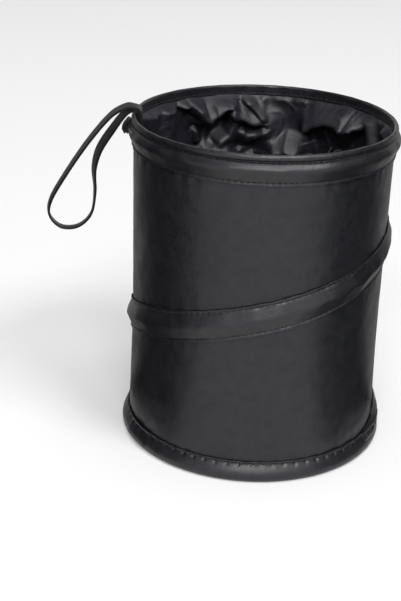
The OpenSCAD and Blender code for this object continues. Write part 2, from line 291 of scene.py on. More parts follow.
def strip_outline(middle, thick, cap=3):
    """Closed outlines of strips laid along middle lines, shaped (rows, points, 2)."""
    step = heading(middle)
    side = np.stack([step[..., 1], -step[..., 0]], -1)
    half = thick / 2
    t = np.pi * np.arange(1, cap + 1)[:, None] / (cap + 1)

    def round_end(k, away):
        bend = side[..., k, :] * np.cos(t) + step[..., k, :] * np.sin(t)
        return middle[..., k, :] + away * bend

    return np.concatenate([middle + half * side, round_end([-1], half),
                           (middle - half * side)[..., ::-1, :], round_end([0], -half)], -2)


def section_length(outline):
    """Distance along each closed outline, from its first point back to it."""
    return run_of(np.concatenate([outline, outline[..., :1, :]], -2))


def tape(name, angles, middle, look, closed):
    """Binding tape swept round the bin: middle is (rows, points, [radius, height])."""
    outline = strip_outline(middle, TAPE_T)
    points = polar(outline[..., 0], angles[:, None], outline[..., 1])
    along = girth_at(np.append(angles, 2 * angles[-1] - angles[-2]))
    across = np.pad(section_length(outline), ((0, 1), (0, 0)), mode="wrap" if closed else "edge")
    return piece(name, points, along, across, look,
                 ring_rows=closed, ring_cols=True, end_lids=not closed)


def tube(path, radius, sides):
    """Points of a round tube along a path, as a grid."""
    step = heading(path)
    side = np.cross(step, (0, 0, 1))
    side /= np.maximum(np.linalg.norm(side, axis=1, keepdims=True), 1e-6)
    rise = np.cross(side, step)
    turns = np.arange(sides) * 2 * np.pi / sides
    ring = np.cos(turns)[:, None] * side[:, None] + np.sin(turns)[:, None] * rise[:, None]
    return path[:, None] + np.asarray(radius).reshape(-1, 1, 1) * ring


def join(name, parts):
    """One object made of several."""
    bpy.context.view_layer.update()
    with bpy.context.temp_override(active_object=parts[0], selected_editable_objects=parts):
        bpy.ops.object.join()
    parts[0].name = parts[0].data.name = name
    return parts[0]


# Materials

class Nodes:
    """A tree of shader nodes."""

    def __init__(self, tree):
        self.tree = tree

    def feed(self, node, key, value):
        """Sets an input of a node, or links it."""
        if isinstance(value, bpy.types.NodeSocket):
            self.tree.links.new(value, node.inputs[key])
        else:
            node.inputs[key].default_value = value

    def node(self, kind, inputs=(), output=0, **settings):
        """Adds a node and gives one of its outputs."""
        node = self.tree.nodes.new(kind)
        for key, value in settings.items():
            setattr(node, key, value)
        for key, value in dict(inputs).items():
            self.feed(node, key, value)
        return node.outputs[output]

    def spread(self, value, low, high, start=0, end=1):
        """Takes start to low and end to high."""
        return self.node("ShaderNodeMapRange", {
            "Value": value, "From Min": start, "From Max": end, "To Min": low, "To Max": high})

    def combine(self, operation, a, b):
        return self.node("ShaderNodeMath", {0: a, 1: b}, operation=operation)

    def seen_directly(self):
        """1 for rays from the camera, gloss or glass, else 0."""
        rays = self.node("ShaderNodeLightPath").node.outputs
        shown = self.combine("MAXIMUM", rays["Is Camera Ray"], rays["Is Glossy Ray"])
        return self.combine("MAXIMUM", shown, rays["Is Transmission Ray"])


class Look(Nodes):
    """A material: one principled shader and the nodes that feed it."""

    def __init__(self, name, colour, roughness, specular, sheen=0):
        self.material = bpy.data.materials.new(name)
        self.material.use_nodes = True
        super().__init__(self.material.node_tree)
        self.set("Base Color", (*colour, 1))
        self.set("Roughness", roughness)
        self.set("Specular IOR Level", specular)
        if sheen:
            self.set("Sheen Weight", sheen)
            self.set("Sheen Roughness", 0.4)

    def set(self, key, value):
        """Sets or links an input of the shader."""
        self.feed(self.tree.nodes["Principled BSDF"], key, value)

    def cloth(self, turn=0, stretch=(1, 1, 1)):
        """The piece's cloth coordinates, turned and stretched."""
        uv = self.node("ShaderNodeUVMap", uv_map="cloth")
        return self.node("ShaderNodeMapping", {
            "Vector": uv, "Rotation": (0, 0, math.radians(turn)), "Scale": stretch})

    def noise(self, size, detail=2, distortion=0, place=None):
        """Smooth noise about `size` millimetres long, 0 to 1."""
        if place is None:
            own = self.node("ShaderNodeTexCoord", output="Object")
            place = self.node("ShaderNodeVectorMath", {0: own, "Scale": 1 / MM}, operation="SCALE")
        return self.node("ShaderNodeTexNoise", {
            "Vector": place, "Scale": 1 / size, "Detail": detail, "Distortion": distortion})

    def mottle(self, size, share):
        """Uneven patches with finer grain in them, from 0 to `share`."""
        coarse = self.noise(size, detail=3)
        fine = self.noise(size / 5, detail=3)
        return self.spread(self.combine("ADD", coarse, fine), 0, share, 0.75, 1.25)

    def ribs(self, place, pitch, distortion=0):
        """Parallel ribs across the first coordinate, 0 to 1."""
        return self.node("ShaderNodeTexWave", {
            "Vector": place, "Scale": math.pi / (10 * pitch), "Distortion": distortion,
            "Detail": 1, "Detail Scale": 0.6}, output="Fac", wave_profile="SIN")

    def shade(self, value, dark, light):
        """A colour from dark to light."""
        return self.node("ShaderNodeMix", {0: value, 6: (*dark, 1), 7: (*light, 1)},
                         output=2, data_type="RGBA")

    def vary_gloss(self, patch, roughness, below=0.06, above=0.06):
        """A roughness that wanders with a noise."""
        self.set("Roughness", self.spread(patch, roughness - below, roughness + above, 0.3, 0.7))

    def bump(self, height, depth, under=None):
        """A normal for a height of 0 to 1 that is `depth` millimetres deep."""
        inputs = {"Height": height, "Distance": depth * MM, "Strength": 1}
        if under is not None:
            inputs["Normal"] = under
        return self.node("ShaderNodeBump", inputs)


def twill_look(name, dark, light, roughness, specular, pitch, depth):
    """Twill tape: slanting ribs crossed by finer threads, with uneven gloss."""
    look = Look(name, dark, roughness, specular, sheen=0.02)
    rib = look.ribs(look.cloth(-45), pitch, distortion=0.6)
    thread = look.ribs(look.cloth(), pitch * 0.55, distortion=0.3)
    weave = look.combine("MULTIPLY", rib, look.spread(thread, 0.75, 1))
    grain = look.combine("ADD", look.mottle(5, 0.7), look.combine("MULTIPLY", weave, 0.3))
    look.set("Base Color", look.shade(grain, dark, light))
    look.vary_gloss(look.noise(9, detail=4), roughness)
    soft = look.bump(look.noise(5, detail=5), 0.2)
    look.set("Normal", look.bump(weave, depth, soft))
    return look.material


def woven_look(name, dark, light, roughness, specular, pitch, crease):
    """Coated plain weave with faint creases and uneven gloss."""
    look = Look(name, dark, roughness, specular)
    warp = look.ribs(look.cloth(), pitch, distortion=0.4)
    weft = look.ribs(look.cloth(90), pitch, distortion=0.4)
    weave = look.combine("MULTIPLY", warp, weft)
    look.set("Base Color", look.shade(look.mottle(6, 1), dark, light))
    look.vary_gloss(look.noise(14, detail=5), roughness)
    # Hairline creases: where a smooth noise crosses its middle, in some places only
    lines = look.noise(26, detail=1, distortion=0.6, place=look.cloth(30, (1, 0.45, 1)))
    line = look.node("ShaderNodeMath", {0: lines, 1: 0.5, 2: 0.006}, operation="COMPARE")
    where = look.spread(look.noise(20), 0, 1, 0.56, 0.66)
    fold = look.combine("MULTIPLY", look.combine("MULTIPLY", line, where), crease)
    slow = look.combine("MULTIPLY", look.noise(32), 3)
    uneven = look.combine("ADD", look.noise(11, detail=4), slow)
    soft = look.bump(look.combine("ADD", uneven, fold), 0.35)
    look.set("Normal", look.bump(weave, 0.02, soft))
    return look.material


def satin_look(name, dark, light, roughness, specular):
    """Thin shiny lining with fine wrinkles."""
    look = Look(name, dark, roughness, specular)
    patch = look.noise(7, detail=5, distortion=0.4)
    look.set("Base Color", look.shade(patch, dark, light))
    look.vary_gloss(patch, roughness, below=0.05, above=0.08)
    wrinkle = look.noise(6, detail=3, distortion=0.8)
    crease = look.spread(look.noise(12, distortion=0.8), 0, 1, 0.46, 0.54)
    soft = look.bump(look.combine("ADD", wrinkle, look.combine("MULTIPLY", crease, 0.3)), 0.25)
    weft = look.ribs(look.cloth(90), 0.5, distortion=0.3)
    look.set("Normal", look.bump(weft, 0.01, soft))
    return look.material


def thread_look():
    """Twisted sewing thread."""
    look = Look("sewing_thread", (0.02, 0.02, 0.022), 0.45, 0.35, sheen=0.05)
    twist = look.ribs(look.cloth(35), 0.45)
    look.set("Base Color", look.shade(twist, (0.014, 0.014, 0.016), (0.042, 0.042, 0.047)))
    look.set("Normal", look.bump(twist, 0.06))
    return look.material


def metal_look(name, colour, roughness, grain):
    """Bare metal with fine scratches."""
    look = Look(name, colour, roughness, 0.5)
    look.set("Metallic", 1.0)
    scratch = look.noise(grain, detail=5)
    look.set("Roughness", look.spread(scratch, roughness - 0.08, roughness + 0.12))
    look.set("Base Color", look.shade(scratch, tuple(c * 0.7 for c in colour), colour))
    look.set("Normal", look.bump(scratch, 0.01))
    return look.material


BINDING = twill_look("binding_tape", dark=(0.0035, 0.0037, 0.005), light=(0.0125, 0.0129, 0.016),
                     roughness=0.41, specular=0.52, pitch=1.3, depth=0.03)
STRAP_TAPE = twill_look("strap_tape", dark=(0.003, 0.003, 0.0038), light=(0.011, 0.0112, 0.0135),
                        roughness=0.5, specular=0.36, pitch=0.9, depth=0.1)
CLOTH_SHADES = {"dark": (0.007, 0.0073, 0.0095), "light": (0.0142, 0.0147, 0.018)}
WALL_CLOTH = woven_look("wall_cloth", **CLOTH_SHADES, roughness=0.42, specular=0.42,
                        pitch=0.7, crease=0.4)
BASE_CLOTH = woven_look("base_cloth", **CLOTH_SHADES, roughness=0.6, specular=0.4,
                        pitch=0.7, crease=0.4)
LINER_CLOTH = satin_look("liner_cloth", dark=(0.0058, 0.006, 0.0095),
                         light=(0.0125, 0.013, 0.0205), roughness=0.46, specular=0.52)
THREAD = thread_look()
STEEL = metal_look("spring_steel", (0.55, 0.56, 0.58), roughness=0.3, grain=1.5)
FERRULE = metal_look("ferrule_metal", (0.7, 0.7, 0.72), roughness=0.42, grain=3)


# Wall

WALL_STEPS = 300
WALL_HEIGHTS = 108
CLOTH_TOP_Z = BIN_H - TAPE_T - LAYER_GAP
SPIRAL_TURNS = (-1, 0, 1, 2)


def near_seam(angle, z, reach):
    """1 on the edge of a band, falling to 0 about `reach` away from it."""
    lines = [BASE_BAND_H, RIM_LOW]
    for turn in SPIRAL_TURNS:
        wire = wire_z(angle + turn * TURN)
        lines += [wire - BAND_HALF, wire + BAND_HALF]
    return sum(np.exp(-((z - line) / reach) ** 2) for line in lines)


def wall_slack(angle, z):
    """How far the wall cloth lies inside its smooth shape, always 0 or more."""
    girth = girth_at(angle)
    sway = 0.16 * (1 + waves(girth, z, 3, 85) / 2)
    pucker = 0.2 * near_seam(angle, z, 5) * frill(angle, 5, 62)
    fine = 0.05 * (1 + waves(girth, z, 7, 24) / 2)
    return np.clip(sway + pucker + fine, 0, 1)


def make_wall():
    angles = np.arange(WALL_STEPS + 1) * TURN / WALL_STEPS
    heights = np.linspace(WALL_FOOT_Z, CLOTH_TOP_Z, WALL_HEIGHTS)
    a, z = np.meshgrid(angles[:-1], heights, indexing="ij")
    wall = piece("wall_cloth", polar(wall_r(z) - wall_slack(a, z), a, z),
                 girth_at(angles), np.append(heights, heights[-1] + 1),
                 WALL_CLOTH, ring_rows=True)
    return thicken(wall, WALL_T)


# Bands

TAPE_STEPS = 720
RING_ANGLES = np.arange(TAPE_STEPS) * TURN / TAPE_STEPS
SPIRAL_PITCH = 3.6
RIM_PITCH = 3.4
BASE_PITCH = 6.8
PORT_FROM = RAMP_START + 0.7 * RAMP_EASE
PORT_TO = 3.25
RIM_PORT_FROM = 507.7
RIM_PORT_TO = RAMP_END - 0.3 * RAMP_EASE
TUCK = 5
BAND_END_H = 0.6
CREST_WAVE = 0.12


def band_low(angle):
    """Lower edge of the spiral band, tucked under the base band at its start."""
    start = (angle - RIM_PORT_FROM) / (RIM_PORT_TO - RIM_PORT_FROM)
    tip = RIM_LOW - BAND_END_H - 2 * BAND_HALF * (1 - np.clip(start, 0, 1)) ** 2
    edge = np.maximum(wire_z(angle) - BAND_HALF, BASE_BAND_H - TUCK)
    return np.where(angle > RIM_PORT_FROM, np.maximum(edge, tip), edge)


def band_high(angle):
    """Upper edge of the spiral band, tucked under the rim band at its end."""
    start = (angle - PORT_FROM) / (PORT_TO - PORT_FROM)
    tip = BASE_BAND_H + BAND_END_H + 2 * BAND_HALF * np.clip(start, 0, 1) ** 2
    edge = np.minimum(wire_z(angle) + BAND_HALF, RIM_LOW + TUCK)
    return np.where(angle < PORT_TO, np.minimum(edge, tip), edge)


def stitch_dip(distance, off_seam, pitch, depth, width=0.65):
    """How far a seam pulls its tape in, deepest at the needle holes."""
    hole = np.abs(np.cos(np.pi * distance / pitch)) ** 6
    return depth * (0.55 + 0.45 * hole) * np.exp(-((off_seam / width) ** 2))


def edge_curl(angle, inside, reach, lift, seed):
    """How far a tape's edge curls off the cloth, `inside` millimetres in from the edge."""
    return lift * np.clip(1 - inside / reach, 0, 1) * frill(angle, seed, 70)


def spiral_r(angle, z):
    """Middle radius of the spiral band's tape."""
    wire = wire_z(angle)
    flange = 2.4
    slack = 0.05
    u = (z - wire) / (BAND_HALF - flange) + 0.05 * ripple(angle, 23, 38)
    crest = CHANNEL_H + CREST_WAVE * ripple(angle, 21, 45)
    r = wall_r(z) + LAYER_GAP + TAPE_T / 2 + slack + crest * tent(u)
    for side in (-1, 1):
        off_seam = z - wire - side * (BAND_HALF - SEAM_INSET)
        r = r - stitch_dip(girth_at(angle), off_seam, SPIRAL_PITCH, depth=0.65)
    return r + edge_curl(angle, BAND_HALF - np.abs(z - wire), 1.2, 0.16, 25)


def ring_section(*runs):
    """A band's middle line at every ring angle, from runs of (radius, height)."""
    return np.concatenate([
        np.stack(np.broadcast_arrays(r, z, RING_ANGLES[:, None])[:2], -1) for r, z in runs], 1)


def spiral_cover(angle, z):
    """Outer radius of the spiral band, or of the wall where that band isn't."""
    best = np.zeros(np.broadcast(angle, z).shape)
    for turn in SPIRAL_TURNS:
        at = angle + turn * TURN
        inside = ease((at - PORT_FROM + 5) / 5) * ease((RIM_PORT_TO + 5 - at) / 5)
        gap_low = np.clip((z - band_low(at)) / 1.5 + 1, 0, 1)
        gap_high = np.clip((band_high(at) - z) / 1.5 + 1, 0, 1)
        lift = spiral_r(at, z) - wall_r(z) + TAPE_T
        best = np.maximum(best, lift * inside * ease(gap_low) * ease(gap_high))
    return wall_r(z) + best


def soften(values, rounds):
    """Evens out a grid of radii round the bin and across the tape."""
    for _ in range(rounds):
        values = (np.roll(values, 1, 0) + 2 * values + np.roll(values, -1, 0)) / 4
        inner = (values[:, :-2] + 2 * values[:, 1:-1] + values[:, 2:]) / 4
        values = np.concatenate([values[:, :1], inner, values[:, -1:]], 1)
    return values


def make_spiral():
    rows = 1120
    across = 34
    angles = np.linspace(PORT_FROM + 0.3, RIM_PORT_TO - 0.3, rows)
    share = np.linspace(0, 1, across)
    share = share - 0.06 * np.sin(2 * np.pi * share)
    edge = 0.18
    low = band_low(angles) + edge * ripple(angles, 31, 60)
    high = band_high(angles) + edge * ripple(angles, 33, 60)
    z = mix(low[:, None], high[:, None], share)
    r = spiral_r(angles[:, None], z)
    return tape("spiral_tape", angles, np.stack([r, z], -1), BINDING, closed=False)


# Rim band, from its lower edge up the outside, over the top and down its facing
LIP_Z = BIN_H - 1.35
LIP_BEAD = 0.4
FACING_R = RIM_R - WALL_T - LINER_T - 2 * LAYER_GAP - TAPE_T / 2
RIM_SEAM_LOW = RIM_LOW + SEAM_INSET
RIM_SEAM_HIGH = BIN_H - SEAM_INSET - 2.5
FACING_SEAM = FACING_LOW + SEAM_INSET


def rim_r_plain(angle, z):
    """Middle radius of the rim band's tape outside, without its seams."""
    flange = 2.3
    crest_z = RIM_RIDGE + 0.15 * ripple(angle, 41, 30)
    below = (crest_z - z) / (RIM_RIDGE - RIM_LOW - flange)
    above = (z - crest_z) / (RIM_SEAM_HIGH - 0.5 - RIM_RIDGE)
    u = np.where(z < crest_z, below, above)
    crest = CHANNEL_H + CREST_WAVE * ripple(angle, 43, 40)
    r = RIM_R + LAYER_GAP + TAPE_T / 2 + crest * tent(u)
    return r + edge_curl(angle, z - RIM_LOW, 1.1, 0.2, 45)


def rim_dips(angle, z):
    """The rim band's two outer seams, and the bead of its folded edge above them."""
    girth = girth_at(angle)
    return (stitch_dip(girth, z - RIM_SEAM_LOW, RIM_PITCH, depth=0.45)
            + stitch_dip(girth, z - RIM_SEAM_HIGH, RIM_PITCH, depth=1.4, width=0.8)
            - LIP_BEAD * np.exp(-(((z - LIP_Z + 0.7) / 1.1) ** 2)))


def facing_r(angle, z):
    """Middle radius of the tape inside the rim, where it hangs a little loose."""
    droop = ease((LIP_Z - z) / FACING_H)
    return FACING_R - 0.35 * droop * frill(angle, 51, 40)


def facing_dip(angle, off_seam):
    return stitch_dip(np.radians(angle) * FACING_R, off_seam, RIM_PITCH, depth=0.12)


def make_rim():
    a = RING_ANGLES[:, None]
    near = np.linspace(-1.2, 1.2, 9)
    outer_z = np.concatenate([np.linspace(RIM_LOW + TAPE_T / 2, LIP_Z, 24), near + RIM_SEAM_LOW,
                              near + RIM_SEAM_HIGH])
    outer_z = np.unique(np.clip(outer_z, RIM_LOW + TAPE_T / 2, LIP_Z).round(1))
    outer_z = outer_z + 0.16 * ripple(a, 47, 60) * (1 - ease((outer_z - RIM_LOW) / 3))
    r = np.maximum(rim_r_plain(a, outer_z), spiral_cover(a, outer_z))
    r = soften(r, 2) - rim_dips(a, outer_z)
    lip_half = (RIM_R + LAYER_GAP + TAPE_T / 2 - FACING_R) / 2
    turns = np.radians(np.arange(20, 161, 17.5))
    lip_r = FACING_R + lip_half * (1 + np.cos(turns)) + 0.12 * ripple(a, 49, 50)
    lip_z = LIP_Z + (BIN_H - TAPE_T / 2 - LIP_Z) * np.sin(turns)
    inner_z = np.linspace(LIP_Z, FACING_LOW + TAPE_T / 2, 12)
    inner_r = facing_r(a, inner_z)
    inner_z = inner_z + 0.2 * ease((LIP_Z - inner_z) / FACING_H) * ripple(a, 53, 50)
    inner_r = inner_r + facing_dip(a, inner_z - FACING_SEAM)
    middle = ring_section((r, outer_z), (lip_r, lip_z), (inner_r, inner_z))
    return tape("rim_tape", RING_ANGLES, middle, BINDING, closed=True)


# Base band, from its upper edge down the outside and in under the base
BASE_SEAM = BASE_BAND_H - SEAM_INSET
BASE_CORNER_AT = BASE_MAX_R - BASE_CORNER_R
LAP_LIFT = 0.5


def base_r_plain(angle, z):
    """Middle radius of the base band's tape, without its seam."""
    flange = 2.2
    top = BASE_BAND_H - flange
    u = np.clip((z - BASE_CORNER_R) / (top - BASE_CORNER_R), 0, 1)
    r = FOOT_R + LAYER_GAP + TAPE_T / 2 + BASE_CHANNEL * np.cos(np.pi / 2 * u) ** 1.15
    return r + edge_curl(angle, BASE_BAND_H - z, 1.1, 0.22, 61) + LAP_LIFT * base_lap(angle)


def base_dips(angle, z):
    """The base band's seam, and the short tucks under its needle holes."""
    girth = girth_at(angle)
    hole = np.abs(np.cos(np.pi * girth / BASE_PITCH)) ** 10
    tuck = 0.65 * hole * np.exp(-((z - BASE_SEAM + 0.7) ** 2))
    return tuck + stitch_dip(girth, z - BASE_SEAM, BASE_PITCH, depth=0.55)


def base_lap(angle):
    """1 where the end of the base tape lies over its start."""
    at = within_half_turn(angle)
    return ease((at + 158) / 3) - ease((at + 140) / 0.8)


def make_base_band():
    a = RING_ANGLES[:, None]
    z = np.linspace(BASE_BAND_H - TAPE_T / 2, BASE_CORNER_R, 30)
    z = z + (0.14 * ripple(a, 63, 60) + 0.4 * base_lap(a)) * ease((z - BASE_BAND_H + 4) / 4)
    r = soften(np.maximum(base_r_plain(a, z), spiral_cover(a, z)), 2) - base_dips(a, z)
    turns = np.radians(np.arange(15, 91, 15))
    bend = BASE_CORNER_R - TAPE_T / 2
    under_r = np.linspace(BASE_CORNER_AT - 1, BASE_CORNER_AT - BASE_FOLD_W, 7)
    middle = ring_section(
        (r, z), (BASE_CORNER_AT + bend * np.cos(turns), BASE_CORNER_R - bend * np.sin(turns)),
        (under_r, TAPE_T / 2))
    return tape("base_tape", RING_ANGLES, middle, BINDING, closed=True)


# Stitches

STITCH_GAP = 1
SEAM_ANGLES = np.linspace(0, TURN, 1441)
# Two loose thread ends at the front of the rim, as points of (radius, angle, height)
LOOSE_ENDS = [
    [(78.3, -63, 199.2), (77.2, -62, 200.6), (75.4, -60.4, 201.6), (73.4, -59, 201.9)],
    [(78.2, -60.5, 199.2), (77, -59, 200.7), (76.4, -57, 201.1), (77, -55.4, 200.4),
     (78.2, -54.6, 199.4)],
]


def stitches(name, path, out, pitch):
    """A row of single stitches along a path, whose ends go down through the cloth."""
    distance = run_of(path)
    count = int(distance[-1] // pitch)
    pitch = distance[-1] / count
    share = np.linspace(0, 1, 7)
    lift = THREAD_D * (0.75 * np.sin(np.pi * share) ** 0.6 - 0.35)
    radius = THREAD_D / 2 * np.array([0.6, 1, 1.05, 1.05, 1.05, 1, 0.6])
    parts = []
    for k in range(count):
        at = k * pitch + STITCH_GAP / 2 + share * (pitch - STITCH_GAP)
        spine, normal = (np.stack([np.interp(at, distance, v) for v in line.T], 1)
                         for line in (path, out))
        parts.append(tube(spine + normal * lift[:, None], radius, sides=6))
    return thread_rows(name, np.stack(parts))


def thread_rows(name, points):
    """One object of many short tubes, given as (tubes, rings, sides, 3)."""
    count, rings, sides = points.shape[:3]
    faces, places = grid_faces(rings, sides, False, True)
    size = rings * sides
    lids = [np.arange(sides), np.arange(size - sides, size)[::-1]]
    polygons = []
    for k in range(count):
        polygons += (faces[:, ::-1] + k * size).tolist()
        polygons += [(lid + k * size).tolist() for lid in lids]
    along, across = np.arange(rings + 1) * 0.5, np.arange(sides + 1) * 0.21
    uv = np.stack(np.meshgrid(along, across, indexing="ij"), -1).reshape(-1, 2)
    one = np.concatenate([uv[places[:, ::-1].ravel()], np.zeros((2 * sides, 2))])
    return add_mesh(name, (points.reshape(-1, 3) * MM).tolist(), polygons, THREAD,
                      np.tile(one, (count, 1)))


def seam_row(name, angles, r, z, pitch, inward=False):
    """Stitches along a line round the bin."""
    return stitches(name, polar(r, angles, z), polar(-1 if inward else 1, angles, 0), pitch)


def make_rim_stitches():
    """The rim band's three seams, and two loose thread ends."""
    a = SEAM_ANGLES
    sunk = 0.6
    rows = []
    for z in (RIM_SEAM_LOW, RIM_SEAM_HIGH):
        r = np.maximum(rim_r_plain(a, z), spiral_cover(a, z)) - sunk * rim_dips(a, z)
        rows.append(seam_row("rim_seam", a, r + TAPE_T / 2, z, RIM_PITCH))
    r = facing_r(a, FACING_SEAM) + facing_dip(a, 0) - TAPE_T / 2
    rows.append(seam_row("facing_seam", a, r, FACING_SEAM, RIM_PITCH, inward=True))
    for points in LOOSE_ENDS:
        path = smooth_path([polar(*point) for point in points], 8)
        rows.append(thread_rows("loose_end", tube(path, 0.15, sides=6)[None]))
    return join("rim_stitches", rows)


def make_base_stitches():
    a = SEAM_ANGLES
    sunk = 0.9
    r = np.maximum(base_r_plain(a, BASE_SEAM), spiral_cover(a, BASE_SEAM))
    r = r + TAPE_T / 2 - sunk * base_dips(a, BASE_SEAM)
    return seam_row("base_stitches", a, r, BASE_SEAM, BASE_PITCH)


def make_spiral_stitches():
    rows = []
    for side in (-1, 1):
        angles = np.linspace(PORT_FROM, RIM_PORT_TO, 2400)
        z = wire_z(angles) + side * (BAND_HALF - SEAM_INSET)
        shown = (z > BASE_BAND_H + 1) & (z < RIM_LOW - 1)
        shown &= (z > band_low(angles) + 1) & (z < band_high(angles) - 1)
        angles, z = angles[shown], z[shown]
        r = spiral_r(angles, z) + TAPE_T / 2
        rows.append(seam_row("spiral_seam", angles, r, z, SPIRAL_PITCH))
    return join("spiral_stitches", rows)


# The wall's upright seam, at the back

WALL_SEAM_AT = 92
WALL_LAP_W = 10


def clear_spans(angle):
    """Heights between which the wall shows at an angle, from the base band to the rim."""
    edges = [BASE_BAND_H]
    for turn in (0, 1):
        wire = float(wire_z(angle + turn * TURN))
        edges += [wire - BAND_HALF, wire + BAND_HALF]
    edges.append(RIM_LOW)
    return zip(edges[::2], edges[1::2])


def make_wall_seam():
    """The lap of the wall cloth and its two rows of stitches."""
    degree = math.degrees(1 / RIM_R)
    across = np.array([-0.5, -0.47, 0, 0.47, 0.5, 0.47, 0, -0.47]) * WALL_LAP_W
    lift = np.array([0, 0.3, 0.35, 0.3, 0, -0.2, -0.2, -0.2])
    laps, rows = [], []
    for low, high in clear_spans(WALL_SEAM_AT):
        heights = np.linspace(low + 0.3, high - 0.3, max(3, int((high - low) / 3)))
        z = heights[:, None]
        points = polar(wall_r(z) + lift - 0.05, WALL_SEAM_AT + degree * across, z)
        laps.append(piece("lap", points, np.append(heights, high),
                          np.append(across, across[0]), WALL_CLOTH,
                          ring_cols=True, end_lids=True))
        for side in (-1, 1):
            at = WALL_SEAM_AT + side * degree * (WALL_LAP_W / 2 - 1.3)
            at = np.full_like(heights, at)
            rows.append(seam_row("row", at, wall_r(heights) + 0.28, heights, SPIRAL_PITCH))
    return join("wall_lap", laps), join("wall_stitches", rows)


# Liner

# Folds as [angle, half width in degrees, share of the deepest, lean in degrees floor to rim]
LINER_FOLDS = [
    [18, 13, 0.56, 10], [47, 15, 0.88, -16], [76, 11, 0.56, 20], [101, 16, 1, 10],
    [128, 11, 0.56, -20], [151, 13, 0.88, 12], [178, 13, 0.5, 0], [206, 15, 0.75, 16],
    [233, 11, 0.56, -12], [262, 16, 0.81, 10], [292, 13, 0.62, -16], [320, 14, 0.81, 12],
    [345, 10, 0.44, 0],
]
DEEPEST_FOLD = 16
FOLD_AWAY = 5
FOLD_START = 28
FOLD_AT_FLOOR = 0.35
LOW_FOLDS_TO = 159
# The back of the liner and its upper part show most, and have the finer grid
LINER_BACK_FROM = -8
LINER_BACK_TO = 188
LINER_FINE_TO = 150
LINER_FOOT_Z = 12
# Folds near the top, each as (reach, half width to the left and to the right of its run,
# [(angle, height)...]). Left is up for a run that goes towards smaller angles.
SWAGS = [
    (8, 14, 7, [(149, 168), (147, 179), (147, 190)]),
    (6, 8, 8, [(161, 178), (162, 191)]),
    (5, 2.5, 3, [(127, 166), (128, 172)]),
    (6, 3, 2, [(136, 189), (132, 190), (128, 188)]),
    (13, 7, 2.6, [(130, 186), (127, 181), (123, 179), (120, 181.5), (116, 184.5), (113, 187),
                  (110, 187.5)]),
    (9, 7, 4, [(109, 183), (108, 175), (110, 168), (115, 164)]),
    (10, 7, 2.6, [(108, 181), (103, 179), (99, 176.5), (96, 175.5)]),
    (8, 3.2, 7, [(103, 170), (100, 167.5), (96, 168.5), (92, 170.5)]),
    (8, 4, 3, [(101, 190), (97, 185), (92, 179)]),
    (7, 9, 9, [(88, 159), (90, 175)]),
    (14, 6.5, 2.2, [(67, 175), (62, 179), (55, 182), (48, 182), (42, 180), (38, 181)]),
    (11, 6, 4, [(43, 183), (47, 192)]),
    (8, 2.5, 2, [(39, 179), (40, 189)]),
    (7, 5, 4, [(25, 177), (30, 192)]),
    (5, 3, 3, [(10, 187), (14, 192)]),
    (11, 6, 12, [(121, 155), (112, 156)]),
    (13, 6, 12, [(85, 158), (79, 160), (74, 158)]),
    (8, 8, 6, [(226, 168), (214, 172), (200, 186)]),
    (9, 7, 5, [(262, 182), (250, 176), (238, 184)]),
    (8, 8, 6, [(310, 176), (296, 170), (280, 180)]),
    (7, 6, 5, [(338, 172), (326, 186)]),
]
DROOP = 0.25


def fold_depth(angle, z):
    """How far the long folds reach in, as in the solid liner."""
    below = FACING_LOW - FOLD_AWAY - z
    share = ease(below / FOLD_START) * mix(FOLD_AT_FLOOR, 1, ease(z / (BIN_H / 3)))
    total = 0
    for at, half, depth, lean in LINER_FOLDS:
        off = within_half_turn(angle - at - lean * (z / BIN_H - 0.5))
        total += DEEPEST_FOLD * depth * np.exp(-((off / half) ** 2))
    return share * total


def swag_reach(angle, z):
    """How far the folds near the top reach in, less and less beside their runs."""
    degree = np.radians(1) * RIM_R
    total = 0
    for reach, left, right, points in SWAGS:
        best = np.full(np.shape(angle), 1e9)
        for (a0, z0), (a1, z1) in zip(points, points[1:]):
            x = -within_half_turn(angle - a0) * degree
            y = z - z0 - DROOP * reach
            dx, dy = (a0 - a1) * degree, z1 - z0
            t = np.clip((x * dx + y * dy) / (dx * dx + dy * dy), 0, 1)
            away = np.hypot(x - t * dx, y - t * dy)
            side = np.where(dx * y - dy * x > 0, left, right)
            best = np.minimum(best, away / side)
        total += (reach * np.exp(-best**2)) ** 3
    return np.cbrt(total)


def liner_shape(angle, z):
    """Inward reach and drop of the liner's cloth."""
    girth = girth_at(angle)
    free = ease((FACING_LOW + 1 - z) / 4)
    wx = girth + 5 * waves(girth, z, 71, 30)
    wz = z + 5 * waves(girth, z, 73, 30)
    crease = 1 - np.minimum(np.abs(waves(wx, wz, 75, 30)), 1)
    fine = 1 - np.minimum(np.abs(waves(wx, wz, 77, 14)), 1)
    rough = ease(0.5 + 0.6 * waves(girth, z, 79, 45))
    gather = 0.5 * np.exp(-((z - FACING_LOW + 3) / 5) ** 2) * (1 + ripple(angle, 81, 70))
    swag = free * swag_reach(angle, z)
    low_share = ease((LOW_FOLDS_TO - z) / 18)
    reach = 0.9 * free + low_share * fold_depth(angle, z) * 0.9
    reach = np.cbrt(reach**3 + swag**3)
    reach += free * (0.6 * crease**2 + rough * 0.28 * fine**2 + gather)
    return reach, DROOP * swag


